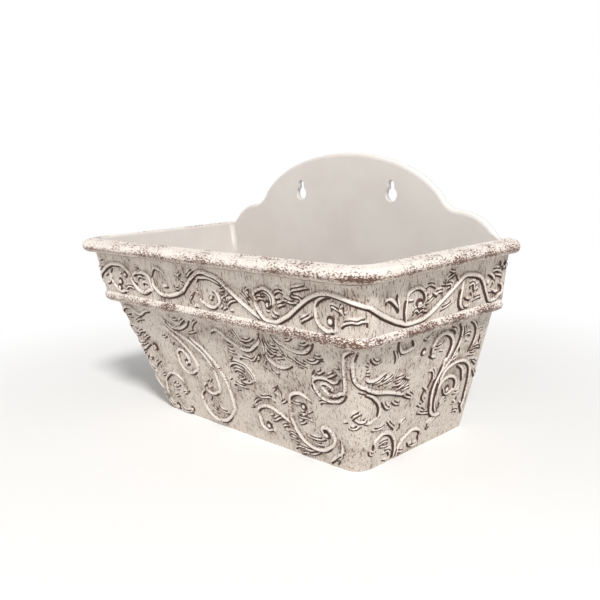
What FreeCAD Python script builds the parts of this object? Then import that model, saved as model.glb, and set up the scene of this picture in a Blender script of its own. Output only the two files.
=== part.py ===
import FreeCAD, Part
import math
import os

from FreeCAD import Vector

# Wall planter: a flared, open-topped trough with a rolled rim, a scrolled frieze, a half-round
# band and scrolled lower walls, closed at the back by an arched hanging plate with two keyholes.
# Two push-in plugs close the drain holes in its floor.
#
# Millimetres. +Z is up, +X runs along the front, and the planter faces -Y. The origin is on the
# surface that the planter stands on, under the middle of its outline.

# ---- driving dimensions ---------------------------------------------------------------------
overall_width = 310.0       # nose to nose of the rim
overall_depth = 162.0       # back plane to the front nose of the rim
overall_height = 203.0      # crown of the hanging plate
rim_top = 143.0             # height of the trough at its rim
wall = 3.0                  # moulded wall, measured square to the wall

# rim: a rolled lip round the front and the two ends
rim_overhang = 10.8         # how far its nose stands out from the frieze
rim_depth = 12.0            # height of the rim section
rim_nose_radius = 4.4
rim_inner_round = 2.5       # rounding of its inner top edge
rim_top_fall = 0.9          # how far its top slopes down towards the nose
rim_soffit_rise = 1.6       # how far its underside slopes down towards the wall
rim_soffit_land = 1.0       # width of the hollow where its underside meets the wall

# frieze: the upright border under the rim
frieze_height = 36.0
frieze_lean = 8.0           # degrees out of plumb
frieze_corner_radius = 14.5

# band: the half-round moulding under the frieze
band_step = 5.5             # how far the frieze stands out from the body below it
band_radius = 4.2
band_overhang = 3.4         # how far the band stands out from the foot of the frieze
band_drop = 1.3             # slope of its underside back to the body

# body: the flared lower walls
body_lean = 16.2            # degrees out of plumb
body_corner_radius = 11.5

# floor
floor_thickness = 3.0
foot_height = 2.0           # the floor panel is raised on a foot ring
foot_width = 9.0
foot_corner_radius = 5.0
drain_spacing = 120.0
drain_radius = 8.0

# hanging plate
plate_thickness = 4.0
arch_half_width = 100.3
arch_rise = 52.6            # half height of the ellipse that makes the arch
shoulder_height = 161.2     # level of the round shoulder beside the arch
shoulder_radius = 37.0
shoulder_gap = 3.9          # from the inside of the end to where the shoulder meets the rim
cove_radius = 17.0          # hollow between the shoulder and the arch
plate_edge_bevel = 2.0
inside_corner_radius = 3.8  # hollow corner between the plate and each end

# keyholes
keyhole_spacing = 96.0
keyhole_lobe_radius = 5.4
keyhole_slot_radius = 3.0
keyhole_below_crown = 32.2  # from the crown down to the lobe's centre
keyhole_rise = 7.6          # from the lobe's centre up to the slot's end

# drain plugs
plug_clearance = 0.05
plug_flange_radius = 12.0
plug_flange_thickness = 2.0
plug_tip_gap = 0.5          # how far the plug stops short of the floor's underside
plug_grip_width = 12.0
plug_grip_thickness = 3.0
plug_grip_height = 8.0

# scrolls: ridges that stand on the flat of each wall
ridge_height_share = 0.6    # height of a ridge as a share of its width
ridge_blunt_end = 0.35      # size of a ridge at its ends, as a share of its middle
ridge_deflection = 0.12     # how far the straight stretches of a ridge may leave its curve
crest_right = 1.0           # each scroll is drawn by the crease beside it: its crest lies this
crest_up = 1.5              # far to the right of the crease, and this far above it
drawn_width = 310.0         # the size of planter that the scrolls are drawn for
drawn_depth = 162.0
drawn_band_z = 95.0
drawn_frieze_height = 36.0

# Each scroll is its width and the crease beside it. On the front the points are (x, z), and on
# the ends they are (distance from the back plane, z).
front_panel_scrolls = [
    (3.0, [
        (-71, 86), (-62, 78), (-47, 71.5), (-33, 65), (-23, 56), (-19.5, 42), (-22, 31), (-31, 27.3),
        (-37, 31),
    ]),
    (3.0, [
        (-72, 79), (-61, 72), (-48, 63.5), (-41, 54), (-43, 44), (-54, 40), (-62, 46), (-61, 55),
        (-53, 58),
    ]),
    (3.4, [
        (-28, 67.5), (-15, 54.5), (-8.5, 42), (-8, 28), (-12, 15.5), (-22, 6), (-35, 4), (-45, 11),
        (-44, 23),
    ]),
    (3.0, [
        (-96, 12), (-94, 22), (-87, 30.5), (-77, 34.8), (-68, 31.5), (-66, 24), (-73, 19),
    ]),
    (2.8, [
        (-115, 86), (-104, 84), (-99, 82.3), (-92, 84.5), (-84, 86),
    ]),
    (3.0, [
        (-107, 51), (-101, 55), (-92, 57),
    ]),
    (2.6, [
        (-108, 62), (-102, 61), (-92, 65),
    ]),
    (2.8, [
        (-50, 78), (-46, 78.2), (-40, 80.5), (-35, 84),
    ]),
    (3.0, [
        (-8, 81.5), (-2, 84), (5, 81.5), (13, 77), (25, 73.2), (35, 75.8), (42, 84),
    ]),
    (3.0, [
        (45, 75), (52, 68.5), (62, 66.8), (70, 70),
    ]),
    (3.0, [
        (57, 86), (64, 84.5), (72, 82), (84, 81.5), (92, 86),
    ]),
    (2.8, [
        (2.5, 53), (6, 59.5), (16, 60.5), (24, 55), (22, 48), (12, 46.5),
    ]),
    (3.2, [
        (48, 26), (43, 29), (33, 31.5), (22, 27), (19, 18), (24, 11), (31, 14),
    ]),
    (3.2, [
        (79, 46), (71, 49.8), (61, 46), (55.3, 35), (54.5, 28), (59.5, 15), (70, 8.9), (83, 10.8),
        (91, 20), (86, 28),
    ]),
    (2.6, [
        (106, 57.5), (100, 55.3), (94, 59.5), (98, 63),
    ]),
    (2.8, [
        (105, 52), (98, 50.3), (90, 52), (86, 58.5), (90, 65), (100, 67.5),
    ]),
]
end_panel_scrolls = [
    (3.2, [
        (114.5, 58), (107, 56), (100, 54), (93, 51.5), (86, 49),
    ]),
    (3.6, [
        (66, 72), (66.5, 77), (60, 84), (50, 83), (44, 76), (45.5, 67), (50, 56), (54, 45), (52, 33),
        (47, 24), (38, 20.5),
    ]),
    (2.8, [
        (39, 86), (35, 79), (36, 71), (41, 62),
    ]),
    (3.0, [
        (40, 56.5), (29, 58.7), (16, 54.5), (10, 44), (8, 25), (9, 18),
    ]),
    (3.0, [
        (46, 41), (38, 49), (28, 46), (26, 38), (33, 35.3), (38, 39),
    ]),
    (3.4, [
        (99, 23), (94, 24), (87, 18), (82.5, 8), (82, 3),
    ]),
    (3.2, [
        (75, 10), (71, 14.5), (61, 16), (55, 11), (57, 5),
    ]),
    (3.0, [
        (105, 86), (101, 82), (94, 81), (90, 86),
    ]),
    (2.6, [
        (107, 48.5), (100, 43.2), (93, 43),
    ]),
    (2.6, [
        (115, 64), (109, 65), (101, 69),
    ]),
    (2.6, [
        (25, 86), (17, 79), (17, 70), (19, 66),
    ]),
    (2.6, [
        (24, 31.5), (18, 33), (15, 39),
    ]),
    (2.6, [
        (62, 59), (57.5, 54.5), (59, 48),
    ]),
]
front_frieze_scrolls = [
    (3.4, [
        (-121, 119), (-112, 123), (-100, 123.3), (-91, 118.4), (-86, 111), (-78, 104.5), (-67, 105.8),
        (-64, 112), (-70, 118.5), (-78, 117.5),
    ]),
    (2.8, [
        (-116, 115.5), (-118.5, 111), (-113.5, 105.9), (-105, 104), (-99, 108),
    ]),
    (2.8, [
        (-57, 118.5), (-53.6, 123.5), (-47, 124), (-42.4, 118),
    ]),
    (3.4, [
        (-54, 108.5), (-47, 104.8), (-36.5, 105.6), (-26, 108.7), (-17.2, 114.2), (-9.9, 120.4),
        (-0.5, 125), (10.4, 125), (20.8, 122.8), (32.3, 115.3), (41.7, 109.3), (49, 105.3),
    ]),
    (2.8, [
        (-2, 118.5), (-6, 113.6), (-3.6, 107.9), (3, 104), (12.5, 104), (17, 109), (13, 114),
    ]),
    (3.0, [
        (69, 111.6), (70.8, 117), (64.6, 120.8), (56.8, 118.4), (54.4, 113), (57, 106),
    ]),
    (3.4, [
        (66, 103.6), (75, 103.8), (85, 106.6), (95, 113.9), (103.9, 119.6), (113.8, 123.5), (120, 124),
    ]),
    (2.8, [
        (112, 118.5), (107, 112.6), (108.5, 106), (114.3, 104), (119.5, 108),
    ]),
    (2.6, [
        (88.2, 120.4), (92, 123.8), (101.3, 125.5),
    ]),
    (2.6, [
        (94.5, 104.3), (101, 108),
    ]),
    (2.6, [
        (41, 117.3), (45.5, 115), (48.4, 111.5),
    ]),
]
end_frieze_scrolls = [
    (3.4, [
        (129, 109.5), (119, 105.2), (109.9, 103.6), (95.2, 103.6), (84.3, 104.7), (75.7, 109.2),
        (64.8, 115.2), (55.5, 120.9), (48, 123), (39.8, 121.7), (31.6, 118.2), (25.7, 110),
        (20.2, 104.6), (14, 103.8), (8, 106), (6, 111),
    ]),
    (2.8, [
        (111.6, 110), (111, 116.6), (105.5, 121.8), (97.9, 121.3), (94, 116.1), (98, 111.5),
    ]),
    (3.0, [
        (128, 118), (123, 117), (118, 111.7),
    ]),
    (3.2, [
        (51.5, 115.5), (54.5, 110.6), (53, 105.2), (47, 103.8),
    ]),
    (2.8, [
        (22.4, 120), (16.4, 116.6), (10, 115),
    ]),
    (2.6, [
        (90.9, 111.7), (86, 113.6), (81, 114.5),
    ]),
    (2.6, [
        (73.5, 121), (68, 124.5), (62, 125),
    ]),
]

# ---- worked-out sizes -----------------------------------------------------------------------
back_y = overall_depth / 2.0
extra_reach = overall_depth - overall_width / 2.0   # depth of any outline, less its half width

rim_z = rim_top - rim_depth                         # where the rim sits on the frieze
band_z = rim_z - frieze_height                      # where the frieze meets the body
shelf_z = band_z + wall                             # the step inside, over the body
floor_z = foot_height + floor_thickness

body_slope = math.tan(math.radians(body_lean))
frieze_slope = math.tan(math.radians(frieze_lean))

frieze_top_half = overall_width / 2.0 - rim_overhang
frieze_foot_half = frieze_top_half - frieze_height * frieze_slope
body_top_half = frieze_foot_half - band_step
base_half = body_top_half - band_z * body_slope

body_wall = wall / math.cos(math.radians(body_lean))        # walls measured level
frieze_wall = wall / math.cos(math.radians(frieze_lean))

plate_front_y = back_y - plate_thickness
keyhole_lobe_height = overall_height - keyhole_below_crown


def body_half(z):
    """Half width of the body's outside at a height."""
    return base_half + z * body_slope


def frieze_half(z):
    """Half width of the frieze's outside at a height."""
    return frieze_foot_half + (z - band_z) * frieze_slope


def arc(first, middle, last):
    return Part.Arc(Vector(*first), Vector(*middle), Vector(*last)).toShape()


def line(first, last):
    return Part.LineSegment(Vector(*first), Vector(*last)).toShape()


def flat_sided(rings):
    """A solid from its flat faces. Each is given by its corners in order."""
    faces = [Part.Face(Part.makePolygon(ring + ring[:1])) for ring in rings]
    shell = Part.makeShell(faces)
    shell.sewShape()
    solid = Part.Solid(shell)
    if solid.Volume < 0.0:
        solid.reverse()
    return solid


# ---- trough ---------------------------------------------------------------------------------
def flare(half, low_z, high_z, radius, thickness=0.0):
    """A block with leaning front and ends, plumb at the back, its front corners rounded.

    half gives the half width of its outside at a height. thickness sets its sides inwards.
    """
    corners = []
    for z in (low_z, high_z):
        side = half(z) - thickness
        front_y = back_y - side - extra_reach
        outline = [(-side, front_y), (side, front_y), (side, back_y), (-side, back_y)]
        corners.append([Vector(x, y, z) for x, y in outline])
    low, high = corners
    rings = [low, high]
    for here, after in ((0, 1), (1, 2), (2, 3), (3, 0)):
        rings.append([low[here], low[after], high[after], high[here]])
    block = flat_sided(rings)
    middle_y = (low[0].y + back_y) / 2.0
    upright = [
        e for e in block.Edges
        if abs(e.Vertexes[0].Z - e.Vertexes[1].Z) > (high_z - low_z) / 2.0 and e.CenterOfMass.y < middle_y
    ]
    return block.makeFillet(radius, upright)


def outside():
    body = flare(body_half, 0.0, band_z, body_corner_radius)
    frieze = flare(frieze_half, band_z, rim_z, frieze_corner_radius)
    return body.fuse(frieze)


def cavity():
    """The space inside the walls, open at the top and at the back."""
    lower = flare(body_half, floor_z, shelf_z, body_corner_radius - wall, body_wall)
    upper = flare(frieze_half, shelf_z, rim_z, frieze_corner_radius - wall, frieze_wall)
    return lower.fuse(upper)


def foot_recess():
    """The hollow under the floor panel, inside the foot ring."""
    half = base_half - foot_width
    depth = half + extra_reach - foot_width
    block = Part.makeBox(2.0 * half, depth, foot_height, Vector(-half, back_y - foot_width - depth, 0.0))
    upright = [e for e in block.Edges if abs(e.Vertexes[0].Z - e.Vertexes[1].Z) > foot_height / 2.0]
    return block.makeFillet(foot_corner_radius, upright)


def drain_centres():
    middle_y = back_y - (base_half + extra_reach) / 2.0
    return [Vector(side * drain_spacing / 2.0, middle_y, 0.0) for side in (-1, 1)]


def trough_shell(trough_outside):
    shell = trough_outside.cut(cavity()).cut(foot_recess())
    for centre in drain_centres():
        shell = shell.cut(Part.makeCylinder(drain_radius, floor_z, centre))
    return shell.removeSplitter()


# ---- mouldings ------------------------------------------------------------------------------
def round_the_front(half, radius, z):
    """The path of a moulding: the front and the two ends, from the back left to the back right."""
    front_y = back_y - (half + extra_reach)
    turn = radius * (1.0 - math.sqrt(0.5))
    edges = [
        line((-half, back_y, z), (-half, front_y + radius, z)),
        arc((-half, front_y + radius, z), (-half + turn, front_y + turn, z), (-half + radius, front_y, z)),
        line((-half + radius, front_y, z), (half - radius, front_y, z)),
        arc((half - radius, front_y, z), (half - turn, front_y + turn, z), (half, front_y + radius, z)),
        line((half, front_y + radius, z), (half, back_y, z)),
    ]
    return Part.Wire(edges)


def moulding(half, z, outline):
    """Sweep a closed outline round the front. Its strokes are lines (2 points) and arcs (3 points).

    Each point is given as its distance out from the wall and its height.
    """
    edges = []
    for stroke in outline:
        ends = [(-half - out, back_y, height) for out, height in stroke]
        edges.append(arc(*ends) if len(ends) == 3 else line(*ends))
    path = round_the_front(half, frieze_corner_radius, z)
    return path.makePipeShell([Part.Wire(edges)], True, False)


def rim_moulding():
    inner = -frieze_wall
    inner_edge_z = rim_top - rim_inner_round
    inner_out = inner + (inner_edge_z - rim_z) * frieze_slope
    nose_z = rim_top - rim_top_fall - rim_nose_radius
    over = rim_overhang - rim_nose_radius
    bend = rim_inner_round * (1.0 - math.sqrt(0.5))
    inner_edge = (inner_out, inner_edge_z)
    top_edge = (inner_out + rim_inner_round, rim_top)
    nose_top = (over, nose_z + rim_nose_radius)
    nose_foot = (over, nose_z - rim_nose_radius)
    hollow = (rim_soffit_land, nose_z - rim_nose_radius - rim_soffit_rise)
    return moulding(
        frieze_top_half,
        rim_z,
        [
            [(inner, rim_z), inner_edge],
            [inner_edge, (inner_out + bend, rim_top - bend), top_edge],
            [top_edge, nose_top],
            [nose_top, (rim_overhang, nose_z), nose_foot],
            [nose_foot, hollow],
            [hollow, (0.0, rim_z)],
            [(0.0, rim_z), (inner, rim_z)],
        ],
    )


def band_moulding(trough_outside):
    centre_out = band_overhang - band_radius
    centre_z = band_z + band_radius / 2.0
    inside = -band_step - wall / 2.0
    top = (centre_out, centre_z + band_radius)
    foot = (centre_out, centre_z - band_radius)
    inner_top = (inside, centre_z + band_radius)
    inner_foot = (inside, centre_z - band_radius - band_drop)
    bead = moulding(
        frieze_foot_half,
        band_z,
        [
            [foot, (band_overhang, centre_z), top],
            [top, inner_top],
            [inner_top, inner_foot],
            [inner_foot, foot],
        ],
    )
    return bead.cut(trough_outside)


# ---- hanging plate --------------------------------------------------------------------------
def plate_side():
    """The right edge of the plate inside the trough, from the floor up to the rim, as (x, z)."""
    return [
        (body_half(floor_z) - body_wall, floor_z),
        (body_half(shelf_z) - body_wall, shelf_z),
        (frieze_half(shelf_z) - frieze_wall, shelf_z),
        (frieze_half(rim_top - rim_inner_round) - frieze_wall, rim_top - rim_inner_round),
    ]


def on_arch(turn):
    """A point of the arch, and the direction square to the arch there, as two (x, z) pairs."""
    x, z = arch_half_width * math.cos(turn), arch_rise * math.sin(turn)
    out_x, out_z = x / arch_half_width**2, z / arch_rise**2
    size = math.hypot(out_x, out_z)
    return (x, overall_height - arch_rise + z), (out_x / size, out_z / size)


def shoulder_centre():
    """The shoulder meets the rim's top a little way in from the end."""
    z = shoulder_height - shoulder_radius
    rim_x = frieze_half(rim_top) - frieze_wall - shoulder_gap
    return rim_x - math.sqrt(shoulder_radius**2 - (rim_top - z) ** 2), z


def cove():
    """The turn of the arch where the cove leaves it, and the centre of the cove.

    The cove touches the arch and the shoulder.
    """
    shoulder_x, shoulder_z = shoulder_centre()
    low, high = -math.pi / 4.0, math.pi / 2.0
    while high - low > 1e-9:
        turn = (low + high) / 2.0
        (x, z), (out_x, out_z) = on_arch(turn)
        centre = (x + cove_radius * out_x, z + cove_radius * out_z)
        apart = math.hypot(centre[0] - shoulder_x, centre[1] - shoulder_z)
        if apart < shoulder_radius + cove_radius:
            low = turn
        else:
            high = turn
    return turn, centre


def round_stretch(centre, radius, start_angle, end_angle):
    """First, middle and last point of an arc in the plane of the plate, as (x, z)."""
    angles = (start_angle, (start_angle + end_angle) / 2.0, end_angle)
    return [(centre[0] + radius * math.cos(a), centre[1] + radius * math.sin(a)) for a in angles]


def plate_outline():
    """The plate's front face: straight down the ends, then shoulder, cove and arch."""
    turn, cove_centre = cove()
    _, (out_x, out_z) = on_arch(turn)
    centre = shoulder_centre()
    rim_angle = math.asin((rim_top - centre[1]) / shoulder_radius)
    cove_angle = math.atan2(cove_centre[1] - centre[1], cove_centre[0] - centre[0])
    shoulder = round_stretch(centre, shoulder_radius, rim_angle, cove_angle)
    arch_angle = math.atan2(-out_z, -out_x)
    if arch_angle > 0.0:
        arch_angle -= 2.0 * math.pi
    hollow = round_stretch(cove_centre, cove_radius, cove_angle - math.pi, arch_angle)

    def at(side, point):
        return (side * point[0], plate_front_y, point[1])

    edges = []
    straight = plate_side() + [shoulder[0]]
    for side in (1.0, -1.0):
        for low, high in zip(straight, straight[1:]):
            edges.append(line(at(side, low), at(side, high)))
        edges.append(arc(*[at(side, p) for p in shoulder]))
        edges.append(arc(*[at(side, p) for p in hollow]))
    edges.append(line(at(-1.0, straight[0]), at(1.0, straight[0])))
    arch_z = overall_height - arch_rise
    ellipse = Part.Ellipse(
        Vector(arch_half_width, plate_front_y, arch_z),
        Vector(0.0, plate_front_y, overall_height),
        Vector(0.0, plate_front_y, arch_z),
    )
    across = [edge.toShape() for edge in (
        Part.ArcOfEllipse(ellipse, turn, math.pi - turn),
        Part.ArcOfEllipse(ellipse, math.pi + turn, -turn),
    )]
    edges.append(max(across, key=lambda edge: edge.CenterOfMass.z))
    return Part.Wire(Part.__sortEdges__(edges))


def keyhole(x):
    """A round lobe for the screw's head with a narrower slot above it for its shank."""
    low = Vector(x, plate_front_y, keyhole_lobe_height)
    through = Vector(0.0, 1.0, 0.0)
    lobe = Part.makeCylinder(keyhole_lobe_radius, plate_thickness, low, through)
    high = low + Vector(0.0, 0.0, keyhole_rise)
    slot_end = Part.makeCylinder(keyhole_slot_radius, plate_thickness, high, through)
    slot = Part.makeBox(
        2.0 * keyhole_slot_radius,
        plate_thickness,
        keyhole_rise,
        low - Vector(keyhole_slot_radius, 0.0, 0.0),
    )
    return lobe.fuse(slot_end).fuse(slot)


def inside_corner(sign):
    """The hollow fillets where the plate meets one end, under and over the inside shelf."""
    y = plate_front_y
    r = inside_corner_radius
    bend = r * (1.0 - math.sqrt(0.5))
    pieces = []
    side = plate_side()
    for low, high in zip(side, side[1:]):
        if high[1] == low[1]:
            continue
        x, z = sign * low[0], low[1]
        section = Part.Wire([
            line((x, y, z), (x - sign * r, y, z)),
            arc((x - sign * r, y, z), (x - sign * bend, y - bend, z), (x, y - r, z)),
            line((x, y - r, z), (x, y, z)),
        ])
        along = Vector(sign * (high[0] - low[0]), 0.0, high[1] - low[1])
        pieces.append(Part.Face(section).extrude(along))
    return pieces


def back_plate():
    plate = Part.Face(plate_outline()).extrude(Vector(0.0, plate_thickness, 0.0))
    edge = []
    for candidate in plate.Edges:
        box = candidate.BoundBox
        if box.YMax < back_y - plate_thickness / 2.0 and box.ZMax > rim_top + plate_edge_bevel:
            edge.append(candidate)
    plate = plate.makeChamfer(plate_edge_bevel, edge)
    for side in (-1, 1):
        plate = plate.cut(keyhole(side * keyhole_spacing / 2.0))
    return plate.multiFuse(inside_corner(-1.0) + inside_corner(1.0)).removeSplitter()


# ---- drain plugs ----------------------------------------------------------------------------
def drain_plug(centre):
    """A stopper that drops into a drain hole from inside and is pulled out by its grip."""
    shank = Part.makeCylinder(
        drain_radius - plug_clearance,
        floor_thickness - plug_tip_gap,
        centre + Vector(0.0, 0.0, foot_height + plug_tip_gap),
    )
    flange = Part.makeCylinder(plug_flange_radius, plug_flange_thickness, centre + Vector(0.0, 0.0, floor_z))
    grip_low = centre + Vector(-plug_grip_width / 2.0, -plug_grip_thickness / 2.0, floor_z)
    grip_height = plug_flange_thickness + plug_grip_height
    grip = Part.makeBox(plug_grip_width, plug_grip_thickness, grip_height, grip_low)
    top_z = floor_z + grip_height
    corners = [
        e for e in grip.Edges
        if all(abs(v.Z - top_z) < 1e-6 for v in e.Vertexes) and abs(e.Vertexes[0].Y - e.Vertexes[1].Y) > 1.0
    ]
    grip = grip.makeFillet(plug_grip_width / 3.0, corners)
    return shank.fuse(flange).fuse(grip).removeSplitter()


# ---- scrolls --------------------------------------------------------------------------------
def on_front(half, lean, across, z, out):
    """A point on the front wall, or this far out from it, square to the wall."""
    y = back_y - half(z) - extra_reach - out * math.cos(lean)
    return Vector(across, y, z - out * math.sin(lean))


def on_right_end(half, lean, across, z, out):
    """A point on the right end. across is measured forwards from the back plane."""
    return Vector(half(z) + out * math.cos(lean), back_y - across, z - out * math.sin(lean))


def ridge(width, crest, place):
    """A ridge of triangular section that swells from blunt ends. place puts a point on the wall."""
    curve = Part.BSplineCurve()
    curve.interpolate([Vector(across, z, 0.0) for across, z in crest])
    sections = []
    for point in curve.discretize(Deflection=ridge_deflection):
        turn = curve.parameter(point)
        share = (turn - curve.FirstParameter) / (curve.LastParameter - curve.FirstParameter)
        bulge = math.sqrt(max(0.0, math.sin(math.pi * share)))
        size = width * (ridge_blunt_end + (1.0 - ridge_blunt_end) * bulge)
        along = curve.tangent(turn)[0]
        aside = Vector(-along.y, along.x, 0.0) * (size / 2.0)
        foot = place(point.x + aside.x, point.y + aside.y, 0.0)
        top = place(point.x, point.y, size * ridge_height_share)
        other_foot = place(point.x - aside.x, point.y - aside.y, 0.0)
        sections.append([foot, top, other_foot])
    rings = [sections[0], sections[-1]]
    for near, far in zip(sections, sections[1:]):
        for here, after in ((0, 1), (1, 2), (2, 0)):
            rings.append([near[here], near[after], far[after]])
            rings.append([near[here], far[after], far[here]])
    return flat_sided(rings)


def scrolls(drawings, on_wall, right, stretch, half, lean_degrees, drawn_foot, foot, stretch_up):
    """All ridges of one wall, stretched with the wall from the size that they are drawn for."""
    lean = math.radians(lean_degrees)

    def place(across, z, out):
        return on_wall(half, lean, across, z, out)

    ridges = []
    for width, crease in drawings:
        crest = []
        for across, z in crease:
            above = foot + (z + crest_up - drawn_foot) * stretch_up
            crest.append(((across + right * crest_right) * stretch, above))
        ridges.append(ridge(width, crest, place))
    return Part.makeCompound(ridges)


def relief():
    """The ridges of each wall. Those of the left end mirror those of the right."""
    across, back = overall_width / drawn_width, overall_depth / drawn_depth
    panel = (body_half, body_lean, 0.0, 0.0, band_z / drawn_band_z)
    frieze = (frieze_half, frieze_lean, drawn_band_z, band_z, frieze_height / drawn_frieze_height)
    nodes = {
        "relief_front_panel": scrolls(front_panel_scrolls, on_front, 1.0, across, *panel),
        "relief_front_frieze": scrolls(front_frieze_scrolls, on_front, 1.0, across, *frieze),
        "relief_right_panel": scrolls(end_panel_scrolls, on_right_end, -1.0, back, *panel),
        "relief_right_frieze": scrolls(end_frieze_scrolls, on_right_end, -1.0, back, *frieze),
    }
    for tier in ("panel", "frieze"):
        right_end = nodes[f"relief_right_{tier}"]
        nodes[f"relief_left_{tier}"] = right_end.mirror(Vector(0.0, 0.0, 0.0), Vector(1.0, 0.0, 0.0))
    return nodes


# ---- build ----------------------------------------------------------------------------------
def main():
    os.makedirs("parts", exist_ok=True)
    trough_outside = outside()
    nodes = {
        "trough_shell": trough_shell(trough_outside),
        "rim_moulding": rim_moulding(),
        "band_moulding": band_moulding(trough_outside),
        "back_plate": back_plate(),
    }
    for name, centre in zip(("drain_plug_left", "drain_plug_right"), drain_centres()):
        nodes[name] = drain_plug(centre)
    nodes.update(relief())
    for name, shape in nodes.items():
        size = shape.Volume / 1000.0
        print(f"{name}: valid {shape.isValid()}, {len(shape.Solids)} solid(s), {size:.1f} cm3")
        shape.exportStep(f"parts/{name}.step")


main()
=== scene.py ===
import math

import bmesh
import bpy
import numpy as np
from mathutils import Matrix, Vector


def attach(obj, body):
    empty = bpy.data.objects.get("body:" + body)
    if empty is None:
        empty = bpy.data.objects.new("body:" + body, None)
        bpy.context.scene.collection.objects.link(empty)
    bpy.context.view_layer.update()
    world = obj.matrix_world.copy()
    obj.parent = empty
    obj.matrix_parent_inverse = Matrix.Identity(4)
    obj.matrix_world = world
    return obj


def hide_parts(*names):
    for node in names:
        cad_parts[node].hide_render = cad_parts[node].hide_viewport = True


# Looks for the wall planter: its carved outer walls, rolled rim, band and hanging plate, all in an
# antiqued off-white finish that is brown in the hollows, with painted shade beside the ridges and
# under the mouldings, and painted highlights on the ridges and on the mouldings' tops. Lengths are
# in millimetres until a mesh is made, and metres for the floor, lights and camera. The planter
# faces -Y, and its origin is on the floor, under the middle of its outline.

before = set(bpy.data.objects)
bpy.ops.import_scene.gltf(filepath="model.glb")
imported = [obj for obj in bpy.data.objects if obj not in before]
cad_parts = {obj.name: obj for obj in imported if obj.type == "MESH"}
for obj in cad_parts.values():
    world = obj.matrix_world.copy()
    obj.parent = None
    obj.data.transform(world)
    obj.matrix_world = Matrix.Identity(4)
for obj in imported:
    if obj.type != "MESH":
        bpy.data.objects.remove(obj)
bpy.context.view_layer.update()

MM = 0.001
scene = bpy.context.scene

# ---- the planter's sizes, as in the solid model ----
WIDTH, DEPTH, HEIGHT = 310.0, 162.0, 203.0
BACK_Y = DEPTH / 2.0
EXTRA_REACH = DEPTH - WIDTH / 2.0  # depth of any outline, less its half width
RIM_TOP, RIM_Z, BAND_Z, FLOOR_Z = 143.0, 131.0, 95.0, 5.0
WALL = 3.0
SHELF_Z = BAND_Z + WALL
RIM_OVERHANG, RIM_NOSE, RIM_TOP_FALL, RIM_INNER_ROUND = 10.8, 4.4, 0.9, 2.5
BAND_RADIUS, BAND_OVERHANG, BAND_STEP = 4.2, 3.4, 5.5
FRIEZE_LEAN, BODY_LEAN = math.radians(8.0), math.radians(16.2)
FRIEZE_CORNER, BODY_CORNER = 14.5, 11.5
FRIEZE_TOP_HALF = WIDTH / 2.0 - RIM_OVERHANG
FRIEZE_FOOT_HALF = FRIEZE_TOP_HALF - (RIM_Z - BAND_Z) * math.tan(FRIEZE_LEAN)
BODY_TOP_HALF = FRIEZE_FOOT_HALF - BAND_STEP
BASE_HALF = BODY_TOP_HALF - BAND_Z * math.tan(BODY_LEAN)
PLATE_THICKNESS, PLATE_EDGE = 4.0, 3.0
ARCH_HALF, ARCH_RISE = 100.3, 52.6
SHOULDER_HEIGHT, SHOULDER_RADIUS, SHOULDER_GAP, COVE_RADIUS = 160.5, 37.0, 5.2, 17.0
KEYHOLE_X, KEYHOLE_Z, KEYHOLE_LOBE, KEYHOLE_SLOT, KEYHOLE_RISE = 48.0, 170.8, 5.4, 3.0, 7.6
INSIDE_CORNER = 3.8

HOLE_EDGE = 0.5  # rounding of the keyholes' front edges
EDGE_RISE, EDGE_LEAST = 5.0, 0.1  # the plate's edge rounds fully this far over the rim, and this little at it
SKIN = 0.15  # how far the inner skin of the frieze stands in from the solid wall
END_ROUND = 3.5  # rounding of the mouldings' rear ends
UNEVEN = 0.09  # how far each of two waves moves the mouldings' surface
BEHIND = 0.2  # how far the carved walls and the mouldings stop short of the back plane

# height range of the carved walls: each ends inside a moulding, or on the floor
PANEL_FOOT, PANEL_TOP = 0.0, 93.0
FRIEZE_FOOT, FRIEZE_TOP = 100.2, 132.4

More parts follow.
